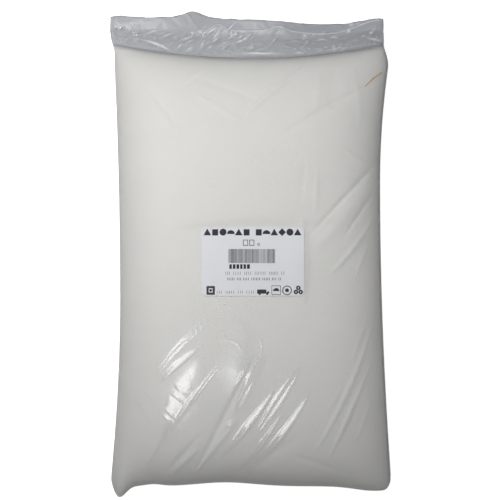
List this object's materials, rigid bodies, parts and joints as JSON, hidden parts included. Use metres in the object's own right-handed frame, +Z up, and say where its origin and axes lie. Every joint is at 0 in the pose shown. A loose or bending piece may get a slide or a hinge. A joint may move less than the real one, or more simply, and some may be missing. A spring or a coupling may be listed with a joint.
{
  "type": "bag of sugar",
  "caption": "Clear plastic pillow bag tightly filled with white sugar, pressed flat and sealed at its empty mouth, lying on its back with a small paper label on its face.",
  "frame": {"origin": "on the surface that the bag lies on, under the middle of the bag's box", "axes": "+Z up through the labelled face, +Y from the bottom end to the sealed mouth, +X to the right of the label as it is read"},
  "size_m": [0.2098, 0.363, 0.0506],
  "materials": {
    "film_and_sugar": "clear glossy film over white granulated sugar",
    "label_paper": "smooth matte white label with dark print"
  },
  "bodies": {
    "root": {"sugar_bag": "film_and_sugar", "label": "label_paper"}
  },
  "joints": []
}
